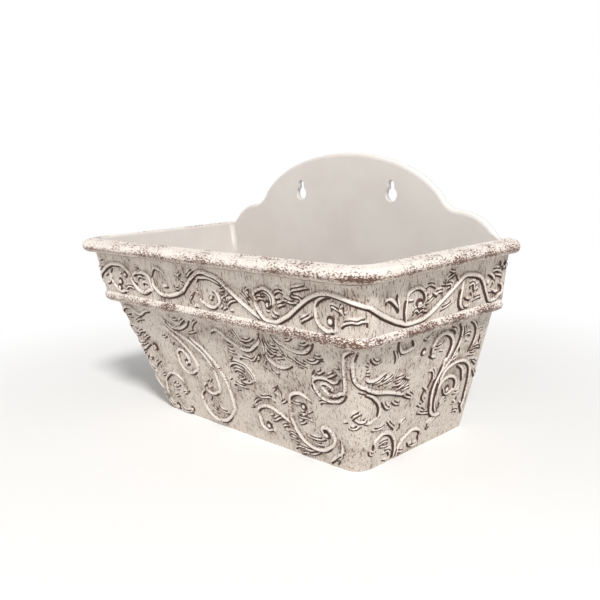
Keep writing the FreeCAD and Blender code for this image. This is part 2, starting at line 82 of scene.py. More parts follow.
# spacing of the carved walls' meshes: the front panel is the largest piece, so its mesh is coarser
PANEL_GRID, FINE_GRID = ((0.52, 0.42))

# ---- carving ----
# One scroll a line: its width, then the points of the crease beside it. On the front a point is
# x,z, and on the ends it is the distance from the back plane, then z. One point makes a bead.
FRONT_PANEL = """\
3.5 -126,80 -121,84.5 -115,87 -109,86.5 -104,84 -99,82.3 -94,83.5 -89,86.2 -83,87.3
2.5 -120,78.5 -115,79.3 -111,79
1.8 -117,82.5 -112,82
2 -109,77 -106,75.8 -102,78 -95,79
3.5 -121,63 -122.5,67 -120,71 -115,71.8 -110,69.5
2.5 -116,63.5 -110,63.5 -107,66 -104,67.5 -100,67.8
2.5 -107,62 -102,61 -99,63 -95,64.5
4 -125,53 -120,51 -113,50.5 -107,52 -102,55 -98,57
2.5 -118,57.5 -112,55.5 -106,56 -101,58
6 -92,56.5
3 -128,75 -129,68 -128,60 -124,54
2.5 -123,44 -118,44 -114,46 -110,48.5
2.5 -115,42.5 -110,43.5 -107,46
2 -106,43 -103,43.5 -101,45.5
1.8 -101,34 -99,38 -96,41 -91,43.5
1.5 -95,35 -93,39
4 -97,12 -96,17 -94,22 -91,27 -87,30.5 -82,33.5 -77,34.8 -72,34 -68,31.5 -66,28.5
3 -65,26 -66,21.5 -70,18.7 -75,19.5
2 -86,22 -82,21 -78,20.5
3 -79,24.5 -76,24.5 -74,25.5
2 -82,26 -79,28
2.5 -88,14 -84,13.3 -80,14.5
2 -95,30 -92,31 -89,32
4 -119,29 -113,27 -108,24 -104,19.5 -100,16
2.5 -116,20.5 -110,21
2.5 -115,17.5 -108,18
2.5 -107,13 -102,11
2.5 -108,6.5 -104,7.5 -100,5.5 -97,2.5
2.5 -106,2 -101,0.5
3 -100,10 -97,6 -94,1
2.5 -120,38 -112,37 -106,33 -103,31
2 -119,33 -110,33
3 -85,3 -80,1 -74,0.8 -68,2
4 -87,4
2 -67,6
4 -71,87 -67,82 -62,78 -55,74.5 -47,71.5 -40,69 -33,65 -27,61 -23,56 -20.5,50 -19.5,42 -20,36 -22,31 \
  -26,28 -31,27.3 -36,29 -38.5,31.5
3 -37.5,33 -35,35
2 -33,32.8 -30,33
3 -33,38 -29,40
1.5 -29,38 -26,41
4 -72,79 -67,76 -61,72 -54,68 -48,63.5 -44,59.5 -41,54 -40.5,49 -43,44 -48,40.8 -54,40 -59,42 -62,46 \
  -63,50 -61,55.5 -58,58.5 -54,59.3 -50.5,57.5 -49,54 -50,50.5 -53,48.5 -55,49
4 -52,50
5 -39,73 -33,69.5 -26,66 -20,60 -15,54.5 -11,48.5 -8.5,42 -8,35 -8,28 -9,21 -12,15.5 -17,9.5 -22,6 -29,4 \
  -35,4 -41,6.5 -45,11 -47,16.5 -46.5,21 -44,25 -40.5,27.5
2.5 -38,17 -35,13.5 -31,10.8
2.5 -31,15.5 -28,16 -22,13.5 -17,13.5
2 -36,21 -33,24.5
2.5 -60,88 -56,86 -50,85 -45,86.5
2 -45,82 -42,84.5 -38,86.5
3.5 -64,82 -58,78.5 -52,77.5 -46,78.2 -40,80.5 -35,83.5 -32,87
2 -30,82 -26,86 -22,88
2.5 -37,76 -32,77.5 -27,78.8
2.5 -76,69 -72,67.5 -69,69
2 -67,64 -64,63 -62,65
1.5 -68,72 -65,66
1.5 -60,70 -57,63
4 -8,81.5 -5,82.8 -2,84 2,83 5,81.5 8,79 13,77 19,74.5 25,73.2 30,73.6 35,75.8 40,79.5 43,84 45,89
2.5 23.5,81.5 27,81 33,81.5 38,84
2.5 15,86 17,83 20,81 25,78.5 30,77.5 33,77.5
3 15,87 19,85 21,81 24,79
2 8,90 13,86
1.5 2,77 8,75 12,74
2.5 5,70 10,69.5 14,68.5
2.5 17,66 20,67 26,67.3 30,66.5 33,67.5 36,70 39,73
2 36,67.5 39,70 41,74
2.5 41,62 41.5,65 43,68 44,72
2.5 46,63 50,61.5 54,59.5 55,62
3 45,88 46,80 44,72
4 45,75 48,71 52,68.5 57,66.5 62,66.8 67,68.5 70,70
2 47,78 50,75 53,73.8 57,75.8
2 51,78.5 55,76.5 59,76
2.5 50,84.5 54,81.5 60,80
2 48,85 50,80 52,77
1.5 57,72.5 60,73.5 64,74
2.5 58,88 61,83 63,78.5 65,77
2.5 65,78 69,75 73,74 77,71.5 80,71
4 57,90 61,86.5 66,84 72,82 78,81 84,81.5 89,83.5 93,87 95,90
2 70,88 74,89 77,91
2 82,87.5 87,87.5 91,89
2.5 83,77 89,76 94,77 98,79.5 100,79.5
2 93,81 97,80.8 100,81
2 73,76 78,74 84,72
3 2.5,53 3,57 6,59.5 11,61 16,60.5 20,59.5 24,55 24.5,51 22,48 18,46.8 13,46.5 11,47
2.5 6.5,53.5 8,55 12,56 16,54.5 17,52.5
2 10.5,52.5 12.5,53 14,52
2 9,50 12,48.8 16,50
3 1,42 4,43.5 10,42.5 16,42
3 2,39 6,38.8
3 5,63.5 7,64 8,65
2 -2,46 0,47
4.5 54,23 49,26 43,29 38,31 33,31.5 27,30 22,27 19.5,23 19,18 20,13.5 24,11 29,11.5 32,14 31,17
4 28,16
2.5 34,21 38,22 43,25 47,26.2
2 33,25 37,26.5
1.8 13,27 17,28 20,32 24,35 27,36
2.2 24,39 28,38 34,39 38,40 42,37.5
1.8 43.5,42 44,46 47,49 49.5,52
1.5 49,40 49.5,44 49.5,50
2 50,38.5 52,39.5 55,41.5
2 44,18.5 47,20.5 50,20.5
2 45,17.5 50,16.5
2 48,13.5 51,16 55,15 58,13
2 48,10.5 52,11 57,10
2.5 51,3.5 55,6 60,6.5 66,6 73,7.5
2.5 56,0.5 62,3 68,3.5 76,7
4.5 79,46 76,48.3 71,49.8 66,49 61,46 57.5,41 55.3,35 54.5,28 56,21 59.5,15 64,11 70,8.9 77,8.8 83,10.8 \
  88,15 91,20 91.8,24.5 90,28 86.5,28.6 83.5,26.5 83,23.5 85,21.8 88,22.5
4 86,24
2.5 66.5,17.5 70,17.3 75,17.5 80,18 84,19.5
2 71,16 75,14 80,13.3
2 60,42 64,41.5 68,42 72,41
3 71,41.5
2 66,35 70,35 72,35.5
2.2 62,32 66,31.5 72,32 75,30.5
2.5 63,26 66,27 69,28.5
1.5 74,37 78,39
4 97,22 97,18 95,12 90,7 84,2
2 90,3 94,8 96,13 97,17
4 127,90 121,87 117.5,82 115,76 113.7,70 112.5,64 110,59 105,56 100,55.3 96,57 93.5,59.8 94,62 97,63 \
  100.5,62 101.5,60 99,59.3
3.5 113,58.5 110,55 105,52 98,50.8 92,51.5 88,54.5 86,58.5 86.5,62 90,65 95,66.5 100,66.5 104,65.2 108,66 \
  111,69
2.5 101,68 104,69.5 109,72
3 82,60 84,56 87,53.5
2 85,62 87,67 90,71.5
1.8 91,70 94,69.5 99,72
2 88,47 91,49 98,50
3 109,77 112,76.5
4.5 129,88 125,83 122,77 121,71 122.5,67 126,64 131,63.5 137,64.5
3 123,61.5 128,60 133,59.5 135,56 134,52 130,47 126,43 121,39.5 117,38.8 113,41
2.5 113,41.5 116,44 120,45.5
2.5 105,38 108,38.5
2.5 108,34 113,34 117,36
4 115,17 118,20 121,24 125,30 130,35 135,37.5 140,38
2 127,28 131,30 135,32
3 131,21.5
2.5 126,13 130,16 133,19
"""

END_PANEL = """\
4.5 140,90 143,86 143,82 141,76 137,71.5 132,67 128,63 122,60.5 115,58 107,56 100,54 93,51.5 86,49
3 130,84 127,81.5 123,80 118,80.5
2.5 137,84 134,81 131,79.5
2 136,78 133,76 128,75.5
2 134,75 131,73.5 127,73.3
3.5 134,72.5 130,69.5 125,68 120,68 114,70 110,70.3
2 122,66 116,66.5 111,69
3 115,63.5 109,65 104,66.5 101,69
2 108,61 104,63 102,66
2.5 100,62.5 95,63.5 90,63
3 100,58.8 95,59 91,61 89,63.5
2.5 96,55 90,57 85,59
2 89,62 84,60
2.5 90,52.5 86,54 81,53.5
3 86,48.5 82,46.5 77,45 79,47.5 83,49.5
3.5 127,59 121,57 116,53.5 112,49.5 110,45 110.5,41 114,38 119,37.3 124,39 129,42
2.5 129,45 126,46 124,45
2 139,47 134,45
3 108,50 104,45.5 100,43.2 96,43.5
2 97,47 93,44.5 88,43
2.5 128,36 124,33.5 120,33
4 105,90 104,86 101,82 96,81 91,82 89,85 91,88
1.5 108,85 105,80 104,76
2 113,88 109,90
5 105,16 106,19 104,22 100,24.3 96,24 91,22 87,18 84,13 82.5,8 82,2
3 110,15 108,12 104,11.5 102,13
2.5 99,16.5 96,18 91,16.5
2 99,15 94,14 90,13.5
2.5 93,8 89,9 86,5
2.5 92,3 87,2.5
2 112,31 107,30 101,30 96,31
2 97,33 94,30 90,27 88,25
4.5 79,2 78.5,7 75,12 71,14.5 66,16.8 61,16 57,14 55,11
3 67,8 65,5 61,3.5 57,4 55,7 56,10
3.5 62,7 64,6
2.5 77,4 73,3 70,3
2.5 83,23 81,26 78,27.5 74,28
4 67,72 63,70 59,69.5
5.5 66,73 66.5,77 64,81 60,84 55,84.8 50,83 46,80 44,76 44,72 45.5,67 48,62 50,56 52,51 54,45 53.5,39 \
  52,33 50,27 47,23.5 43,21.5 38,20.5 33,20.3
2.5 64,76 60,76 56,77 51,79
2 56,73 52,73
2.5 49,50 47,44 47.5,38 46.5,32 44.5,27 41,22
3.5 39,89 36,85 35,79 36,73 38,68 41,62 45,57 48,53
3 31,70 32,66 35,63 39,61
2.5 32,77 29,79 25,79 22,77
4 48,43 46,50 42,55.5 36,58 29,58.7 22,57.7 16,54.5 12,50 10,44 9,38 8.5,30 8,25 9,20 6,15 5,13
4 47,39 46,43 43,47 38,49 33,48.5 28,46 25.5,42 26,38 29,36 33,35.3 37,37 39.5,41
4 34,40
4 28,56 22,52 19,46 17,42
3 25,88 20,85 17,81 16,76 17,70 19,65
3 26,74 23,74.5
2 33,86 31,82 30,78
2.5 16,65 10,66 5,64.5 3,64
2.5 17,61 10,61 6,62.5
2 12,57 8,57
2.5 10,55.5 6,53 4,51.5
2.5 5,47 3,44 1,41
2 13,78 10,79.5 7,79
2 8,75 8,70 5,65
3 24,33 20,33 18,34 15,38
3 21,24 19,25 17,29
2.5 18,17 15,17.5 12,15.5
2 12,23 9,22
3 40,26 38,29 34,31 31,30
2.5 62,59.5 59,59 57,55 58,51 59,48
3 63,46 64,42 62,39 60,37
3 66,36 63,34.5 61,35
2 60,33 56,30.5
2.5 64,29.5 60,28 54,26.5 50,25
2 65,49 60,45
3 33,20 41,19.5 45,17 48,14 46,12 44,13.5
2.5 78,86 75,85 71,87.5 68,87.5
3 75,77
3 49,87 45,86 42,83
"""

FRONT_FRIEZE = """\
5 -137,107 -136,111 -129,115.2 -124,118 -119,120.7 -112,123 -105,123.2 -100,123.3 -95,121.5 -91,118.4 \
  -88.5,114.7 -86,111 -83,107.5 -78,104.5 -72,103.8 -66,105.8 -62.5,108.4 -62,113 -64,117.5 -70,119.5 \
  -78.6,118.9 -82.8,116.8 -83.3,113.2 -80.7,111.1
2.5 -78,113.7 -76,116.3 -73,116.8 -70,115.3
4 -71.9,111 -69.8,113 -67.2,111.8
4 -113.5,119.9 -116,116.8 -117.7,113.2 -118.8,110.8 -116.7,109 -113.5,105.9 -109.4,103.3 -105.2,101.7 \
  -101,102.2 -98,104.3 -99,108
4 -106.8,105.9
4 -104,111
2.5 -102.6,117.3 -100,117.4
3 -95.3,117.3
2.5 -97.9,104.3 -93.8,106.7 -90,107.2 -86.5,105.9
2.5 -141,119.4 -129,118.9
2.5 -140.6,116 -132.8,116
2 -129.7,125.9 -125.5,126.7
2 -131.8,122 -127,120.5
3 -125,113.7 -121.4,115
3 -124.5,106.9 -118.8,108.5
2 -79.7,124.6 -75,124.1
5 -57.3,120.4 -59,117.3 -59.6,113.6 -58.3,110.5 -55.2,107.9 -51.6,105.8 -47,104.8 -41.7,104.8 -36.5,105.6 \
  -31.3,106.9 -26,108.7 -20.8,111 -17.2,114.2 -13.5,117.3 -9.9,120.4 -5.7,123 -0.5,125.9 5,126.5 \
  10.4,125.4 15.6,124.6 20.8,122.8 27,118.9 32.3,115.3 38,111.6 41.7,109.3 45.8,107.2 50,104.8 54.2,102.8 \
  57.3,100.7
3.5 -57.3,120.4 -53.6,124.6 -50,124.8 -47,124 -44.3,122.8 -42.4,117.8
4 -46.6,115.7 -45.8,113.6 -43.8,112.3 -39.6,112.6
2.5 -29.2,124 -27,122
2.5 -21.4,124 -24.5,122 -25.5,119.9
2 -25.5,119.4 -22.9,117.3 -19.8,116
2.5 -31.8,114.7 -32.6,113.6 -29.2,112 -25.5,111.8
2.5 -16.7,123 -13.5,122.5 -9.4,125.6 -5.7,127.2
2.5 -8.9,112 -11.5,108.9 -14,106.3 -15.6,103.7
4 -10.9,100.3 -7.8,102.2 -7.3,101.1
3.5 22,120 17,121.5 11.5,123 6.8,123.3 3,122.8 -1,122.5 -3.6,119.9 -5.2,116.8 -6,113.6 -5.2,110.5 \
  -3.6,107.9 -1.6,105.8 3,103.6 7.8,102.6 12.5,103 15.6,105.9 17.2,109 17.2,111.6 15,114.2 12,114.7
4 8.3,111.6 9.4,109 10.7,109.5 12,111.6
2.5 25,116.8 20.8,116 20.6,115.3 22.9,113.7
2 21.4,107.4 21.9,111 26,113.2
2 24.5,106.9 25.5,109 28,112 31.3,112.6
2.5 26.6,106.4 30.7,109.5 36.5,111
2.5 21.4,103.3 25,104.8
2 18.8,103.8 21.9,105.9
2.5 28,103.8 30.7,103.3
3 41,117.3 43.8,116.3 46.4,114.2 48.4,111
2.5 49.5,120.5 47,118.9 46.9,116.3 47.9,113.7
2 50,118.9 50.8,115.3
4 69.3,111.6 70.8,114.2 71.4,117.9 69.3,120.5 64.6,121.8 60.4,120.5 56.8,118.9 54.7,116.8 53.9,113.2 \
  54.4,109.5 56.3,106.4 58.9,103.3 62,101.2 66.7,100.7 71.9,100.7
3 61.5,118.9 65,119.7 68.2,118.4 69.5,115.3 68.2,112 66,110.8 64.6,112 65,113.9
4 66.5,112.5
2.5 57.8,113.7 59.9,115.3 63,114.7
2 62,117.9 64.5,117.6
2.5 64,108.5 66,107.4
2 68.2,105.6 72.9,104.3
3 70.3,108.5 75,106.4
5 66,100.7 71.9,100.7 75.3,101.7 80.4,104.3 85,106.6 90.3,110.5 95,113.9 99.2,116.8 103.9,119.6 \
  108.5,121.7 113.8,123.5 120,124.1 126.3,123.3 131.5,122.2 136.7,120.4 142.9,118.3 150,115.7
2.5 74.7,119.9 75.7,120.9 78.9,122 80.9,120.9
3 74.7,117.3 77.8,117.5
3 80.4,115.2 81.5,116.5 85,116.2 88.2,115.5 92.4,115.7
3 76.3,111.6 77.8,112.6 81.5,113.6
2.5 88.2,120.4 89.3,122.5 91.9,123.8 97,125 101.3,126 104.4,126.4
3 88.8,119.6 91.9,119.6 96,119.4 95,117.3
3 94.5,104.3 97,105.8 101.3,107.9 104.4,109.5
3.5 120,123 115.8,122 111.7,119.9 108.5,116.8 106.5,112.6 106.5,108.9 108,105.3 110.6,103.2 114.3,101.4 \
  117.9,101.4 120.5,103.2 121.6,106.9 121.3,110.5
5 118.7,109
2.5 120.5,115.7 121.6,117.3 124.2,116.2 126.3,114.9
2.5 126.3,113.6 127.3,116.2 128.9,118.3 129.9,118.3
2 130.2,117.3 130.4,114.7
3 126.8,105.8 128.9,107.4 132,108.7 135,109.2 138.2,108.7 141.4,109.7 144.5,109.2 144,107.4
"""

END_FRIEZE = """\
5 155,123.4 151.7,121.2 146.8,118.5 141.4,115.5 136.5,113.1 130.5,110.1 124.6,107.4 119,104.9 114.8,103.6 \
  109.9,101.9 105,101.4 95.2,101.7 89.8,102.7 84.3,104.7 78.9,107.4 75.7,109.2 70.2,112.2 64.8,115.2 \
  59.9,118.2 55.5,120.9 50.7,123.1 44.7,122.6 39.8,121.7 35.4,120.4 31.6,118.2 28.4,114.4 25.7,110 \
  22.9,106.2 20.2,102.4 15.9,100.8 9.9,101.9 6.6,104.1 4.7,107.3 5.5,110.6 8.3,111.7
4 15.9,108.4 12.6,106.8 9.3,107.3 8,109.2
3.5 109.9,103.6 111,107.4 111.8,112.3 111.5,116.6 109.3,120.4 105.5,122.3 101.7,122.9 97.9,121.8 \
  94.7,119.6 93,116.1 93.9,112.8 96.3,110.6 99,111.2 100.1,112.5
6 97.4,113.1
2.5 108.8,116.3 103.4,116.3
2.5 102.8,107.4 102.3,108.7 100.1,109 97.4,106.8
2.5 97.4,106.8 94.7,108.2 92,107.4 88.7,106.6
4 129.5,118.2 128.9,120.1 126.2,119.6 122.9,117.2 120.2,115 117.5,111.7
3.5 119.7,122.3 120.2,119.9 119.1,116.1 117.5,112.3
2.5 92.5,118 89,118
2 91.7,122 88.7,123.1 84.9,121.8 82.7,120.7
4 84.9,117.2 82.2,116.1 80,115
3 82.2,116.3 78.4,117.2 74.6,116.6
3 90.9,111.7 88.7,112 86,113.6 83.3,114.2
3 76.2,121.2 73.5,121.2 71.3,123.6 68,125 63.2,125.8
2.5 72.4,120.4 67,120.4 66.4,119 68.6,117.9
2 69.1,129 64.8,127.7 62.1,128
1.5 62,126.3 58.3,121.4
2.5 74,104.9 69.1,106.2 62.1,108.1
5 49.6,120.1 52.3,118.2 54.2,114.9 55.3,110.6 55.3,107.3 53.9,104.1 50.7,101.8 47.4,101.3
3.5 49.6,103.5 46.3,102.4 43,103.3 40.9,105.2
3.5 49,109.2 46.3,107.6 43,107.6 41.4,110 42,111.1
2.5 43.6,114.4 43.9,115.7 42,117.1 40.3,116 39.8,113.8 38.2,111.7
3 37.1,115.5 35.4,116.8 33.8,117.1
2 35.4,112.2 33.8,114.9
2.5 38.2,105.1 35.4,106.2 32.2,106.5 28.9,106
3 23.5,113.8 22.4,115.7 20.8,116.3
3 21.3,108.4 17,108.1
2.5 17.5,111.7 15.9,113.8 13.2,114.4
4 22.4,120.4 18.6,118.7 16.4,116.6 14.2,115.2
3 17,120.4 15.9,122.3 12.1,121.7 8.3,121.2
3 14.8,119 9.9,118.2 5.5,116.6
3 9.9,128 9.3,124.7
2.5 7.2,124.7 5,122
2.5 5.5,122 2.3,124.7
4 2,125
"""

WASH_SHADE_LEAST, WASH_SHADE_SHARE = 0.42, 0.08  # spread of the brown beside a crease, wash and painted shade, from the scroll's width
BROWN_LEAST, BROWN_SHARE = 0.65, 0.1  # strength of that brown, from the scroll's width
FAR_BROWN, FAR_PLACE = 0.2, 0.8  # fainter brown near the foot of the ridge's far side
BROWN_REACH = 1.5  # the brown ends this far from a ridge
CREST_CLEAN = (1.7, 1.2)  # high ground holds less brown: this much, less this per millimetre
UP_AND_RIGHT = (0.52, 0.85)  # the side of its crease that a ridge lies on, towards the light, so the crease's brown is also painted shade
STEM_LEAST, STEM_SHARE = 1.55, 0.2  # width of a ridge, from the width of its scroll
RIDGE_SHARE = 0.6  # height of a ridge as a share of its width
SIDE_CHANGE = 3.0  # how fast a ridge changes sides where its crease turns
CREST_SHARE = 0.5  # distance from crease to crest, as a share of the ridge's width
FOOT_SHARE, FOOT_SPREAD = 0.75, 0.27  # the ridge is steep beside its crease and gentle on the far side
STEEP_LEAST, STEEP_SPREAD, STEEP_BEAD = 1.2, 0.6, 0.8  # the power that shapes its section, and a bead's
TIP_LENGTH, TIP_SHARE, TIP_SIZE = 7.0, 0.45, 0.4  # a ridge thins to this size over its ends
LEAF_WIDTH, LEAF_GAP, LEAF_SHARE = 3.0, 2.1, 0.8  # a leaf this narrow has a second, shorter ridge

GROUND = 0.8  # the carved ground stands this far out, so that creases can cut into it
CREASE_DEPTH = 0.8
SOFTNESS = 0.3  # how far the carving is smoothed
HOLLOW_REACH, HOLLOW_DEPTH, HOLLOW_BROWN = 1.3, 0.7, 0.28  # ground below what is around it holds brown, wash and painted shade
DARKEN_REACH, DARKEN_GAIN = 3.5, 1.8  # the ground is darker this far round the carving, and this strongly
CREST_HEIGHT = 1.3  # ridges of this height take the full painted highlight
WEAR_HEIGHT, CARVED_WEAR = 1.2, 0.12  # ridges of this height show this much chipping
FRONT_WRAP, END_WRAP = 0.84, 0.72  # length of a corner's arc, as a share of its length in the drawing
BLEND_START, BLEND_LENGTH = 0.62, 0.14  # where round a corner the end's drawing takes over


def read_scrolls(text):
    """The width and the points of each scroll, one scroll a row."""
    scrolls = []
    for row in text.splitlines():
        width, *points = row.split()
        scrolls.append((float(width), np.array([p.split(",") for p in points], dtype=float)))
    return scrolls


def smooth_line(points, step=0.9):
    """A smooth line through the points, with a point about every step."""
    if len(points) < 3:
        return points
    padded = np.vstack([2 * points[0] - points[1], points, 2 * points[-1] - points[-2]])
    line = []
    for a, b, c, d in zip(padded, padded[1:], padded[2:], padded[3:]):
        count = max(1, int(math.hypot(*(c - b)) / step))
        for t in np.arange(count) / count:
            squared, cubed = 2 * a - 5 * b + 4 * c - d, 3 * b - a - 3 * c + d
            line.append(0.5 * (2 * b + (c - a) * t + squared * t**2 + cubed * t**3))
    line.append(points[-1])
    return np.array(line)


def nearest(places, line):
    """Distance from each place to the line, and how far along the line its nearest point is."""
    if len(line) == 1:
        return np.hypot(*(places - line[0]).T), np.zeros(len(places))
    starts, runs = line[:-1], np.diff(line, axis=0)
    lengths = np.hypot(*runs.T)
    begins = np.concatenate([[0.0], np.cumsum(lengths)])
    best = np.full(len(places), 1e9)
    along = np.zeros(len(places))
    for start, run, length, begin in zip(starts, runs, lengths, begins):
        offset = places - start
        share = np.clip(offset @ run / max(length**2, 1e-9), 0.0, 1.0)
        distance = np.hypot(*(offset - share[:, None] * run).T)
        closer = distance < best
        best[closer] = distance[closer]
        along[closer] = begin + share[closer] * length
    return best, along


def beside_crease(crease, lift, rightwards):
    """The crest of a ridge: its crease moved square to itself, to the side that is up and to the right."""
    if len(crease) == 1:
        return crease
    along = np.gradient(crease, axis=0)
    along /= np.hypot(*along.T)[:, None]
    square = np.stack([-along[:, 1], along[:, 0]], axis=1)
    towards = np.array([rightwards * UP_AND_RIGHT[0], UP_AND_RIGHT[1]])
    side = np.clip(SIDE_CHANGE * square @ towards, -1.0, 1.0)
    return crease + square * side[:, None] * lift


def with_leaves(scrolls, rightwards):
    """The smooth crease of each scroll, and of the second ridge that lies beside each leaf."""
    creases = []
    for width, points in scrolls:
        crease = smooth_line(points)
        creases.append((width, crease))
        trim = len(crease) // 5
        if width <= LEAF_WIDTH and trim:
            beside = beside_crease(crease, LEAF_GAP, rightwards)
            creases.append((LEAF_SHARE * width, beside[trim:-trim]))
    return creases


def carve(scrolls, across, up, rightwards):
    """Height of the ridges, and strength of the brown beside their creases, which is wash and painted shade.
    rightwards is +1 where across grows to the right.
    """
    height = np.zeros(across.shape)
    wash_and_shade = np.zeros(across.shape)
    for width, crease in with_leaves(scrolls, rightwards):
        middle = STEM_LEAST + STEM_SHARE * width
        lift = CREST_SHARE * middle
        crest = beside_crease(crease, lift, rightwards)
        reach = middle + BROWN_REACH
        low = np.minimum(crease.min(0), crest.min(0)) - reach
        high = np.maximum(crease.max(0), crest.max(0)) + reach
        near = (across > low[0]) & (across < high[0]) & (up > low[1]) & (up < high[1])
        if not near.any():
            continue
        places = np.stack([across[near], up[near]], axis=1)
        distance, along = nearest(places, crest)
        strength = min(1.0, BROWN_LEAST + BROWN_SHARE * width)
        spread = WASH_SHADE_LEAST + WASH_SHADE_SHARE * width
        if len(crease) > 1:
            total = np.hypot(*np.diff(crest, axis=0).T).sum()
            tip = min(TIP_LENGTH, TIP_SHARE * total)
            swell = np.clip(np.minimum(along, total - along) / tip, 0.0, 1.0)
            size = middle * (TIP_SIZE + (1.0 - TIP_SIZE) * np.sqrt(swell))
            beside = nearest(places, crease)[0]
            far_side = np.clip((beside - distance) / lift, -1.0, 1.0)
            foot = size * (FOOT_SHARE + FOOT_SPREAD * far_side)
            line = np.maximum(
                np.exp(-(beside / spread) ** 2),
                FAR_BROWN * np.exp(-((distance - FAR_PLACE * foot) / spread) ** 2),
            )
            steepness = STEEP_LEAST + STEEP_SPREAD * far_side
        else:
            size = foot = np.full(len(places), middle)
            line = np.exp(-((distance - foot) / spread) ** 2)
            steepness = STEEP_BEAD
        bump = RIDGE_SHARE * size * np.clip(1.0 - (distance / foot) ** 2, 0.0, 1.0) ** steepness
        height[near] = np.maximum(height[near], bump)
        wash_and_shade[near] = np.maximum(wash_and_shade[near], strength * line)
    return height, wash_and_shade * np.clip(CREST_CLEAN[0] - CREST_CLEAN[1] * height, 0.1, 1.0)


def blur(grid, sigma):
    """The grid smoothed both ways, with its edge values carried outwards."""
    reach = max(1, int(3 * sigma))
    weights = np.exp(-0.5 * (np.arange(-reach, reach + 1) / sigma) ** 2)
    weights /= weights.sum()
    for axis in (0, 1):
        padded = np.pad(grid, [(reach, reach) if a == axis else (0, 0) for a in (0, 1)], mode="edge")
        length = grid.shape[axis]
        grid = sum(w * np.take(padded, range(k, k + length), axis=axis) for k, w in enumerate(weights))
    return grid


def body_half(z):
    return BASE_HALF + z * math.tan(BODY_LEAN)


def frieze_half(z):
    return FRIEZE_FOOT_HALF + (z - BAND_Z) * math.tan(FRIEZE_LEAN)


# ---- meshes ----
def add_object(name, mesh, material, body="planter"):
    mesh.materials.append(material)
    thing = bpy.data.objects.new(name, mesh)
    scene.collection.objects.link(thing)
    for polygon in mesh.polygons:
        polygon.use_smooth = True
    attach(thing, body)
    return thing


def add_attribute(mesh, name, values):
    layer = mesh.attributes.new(name, "FLOAT", "POINT")
    layer.data.foreach_set("value", np.asarray(values, dtype=np.float32))


def slab(name, outer, inner_low, inner_high, marks, material):
    """A closed sheet. outer is a grid of points (row, column), and the inner rows close its back."""
    rows, columns = outer.shape[:2]
    points = np.concatenate([outer.reshape(-1, 3), inner_low, inner_high]) * MM
    index = np.arange(rows * columns).reshape(rows, columns)
    low = rows * columns + np.arange(columns)
    high = low + columns
    faces = np.stack([index[:-1, :-1], index[:-1, 1:], index[1:, 1:], index[1:, :-1]], axis=-1).reshape(-1, 4)
    strips = []
    for below, above in ((low, index[0]), (index[-1], high), (high, low)):
        strips.append(np.stack([below[:-1], below[1:], above[1:], above[:-1]], axis=-1))
    faces = np.concatenate([faces] + strips).tolist()
    faces.append([low[0], *index[:, 0], high[0]])
    faces.append([high[-1], *index[::-1, -1], low[-1]])
    mesh = bpy.data.meshes.new(name)
    mesh.from_pydata(points.tolist(), [], faces)
    for key, values in marks.items():
        add_attribute(mesh, key, np.concatenate([values.ravel(), np.zeros(2 * columns)]))
    return add_object(name, mesh, material)


def carved_front(half, corner, grid, levels, front_scrolls, end_scrolls):
    """The front with both corners: places, outward x and y, height, and brown wash and painted shade."""
    corner_length = corner * math.pi / 2.0
    corner_count = int(corner_length / grid) + 1
    flat_front = half(levels) - corner
    flat_end = half(levels) + EXTRA_REACH - corner
    flat_count = int(2.0 * flat_front.max() / grid) + 1
    bend = np.linspace(0.0, 1.0, corner_count)[1:]
    round_corner = np.ones(corner_count - 1)
    flat = np.concatenate([-round_corner, np.linspace(-1.0, 1.0, flat_count), round_corner])
    turn = np.concatenate([-bend[::-1], np.zeros(flat_count), bend])
    z = np.repeat(levels[:, None], len(flat), axis=1)
    angle = turn * math.pi / 2.0
    run = flat * flat_front[:, None]
    x = run + corner * np.sin(angle)
    y = BACK_Y - EXTRA_REACH - half(z) + corner * (1.0 - np.cos(angle))
    bent = np.abs(turn) * corner_length * np.ones_like(z)
    height, wash_and_shade = carve(front_scrolls, run + np.sign(turn) * bent / FRONT_WRAP, z, 1.0)
    for side in (1.0, -1.0):
        here = turn * side > 0.0
        drawn_end = flat_end[:, None] + (corner_length - bent[:, here]) / END_WRAP
        end_height, end_wash_and_shade = carve(end_scrolls, drawn_end, z[:, here], -1.0)
        weight = np.clip((np.abs(turn[here]) - BLEND_START) / BLEND_LENGTH, 0.0, 1.0)[None, :]
        height[:, here] = (1.0 - weight) * height[:, here] + weight * end_height
        wash_and_shade[:, here] = (1.0 - weight) * wash_and_shade[:, here] + weight * end_wash_and_shade
    everywhere = np.ones_like(z)
    places = np.stack([x, y, z], axis=-1)
    return places, np.sin(angle) * everywhere, -np.cos(angle) * everywhere, height, wash_and_shade


def carved_end(side, half, corner, grid, levels, end_scrolls):
    """The end on one side: places, outward x and y, height, and brown wash and painted shade."""
    flat_end = half(levels) + EXTRA_REACH - corner
    flat_count = int(flat_end.max() / grid) + 1
    share = np.linspace(0.0, 1.0, flat_count)
    if side > 0.0:
        share = share[::-1]
    z = np.repeat(levels[:, None], flat_count, axis=1)
    back = BEHIND + share * (flat_end[:, None] - BEHIND)
    height, wash_and_shade = carve(end_scrolls, back, z, -1.0)
    places = np.stack([side * half(z), BACK_Y - back, z], axis=-1)
    return places, side * np.ones_like(z), np.zeros_like(z), height, wash_and_shade


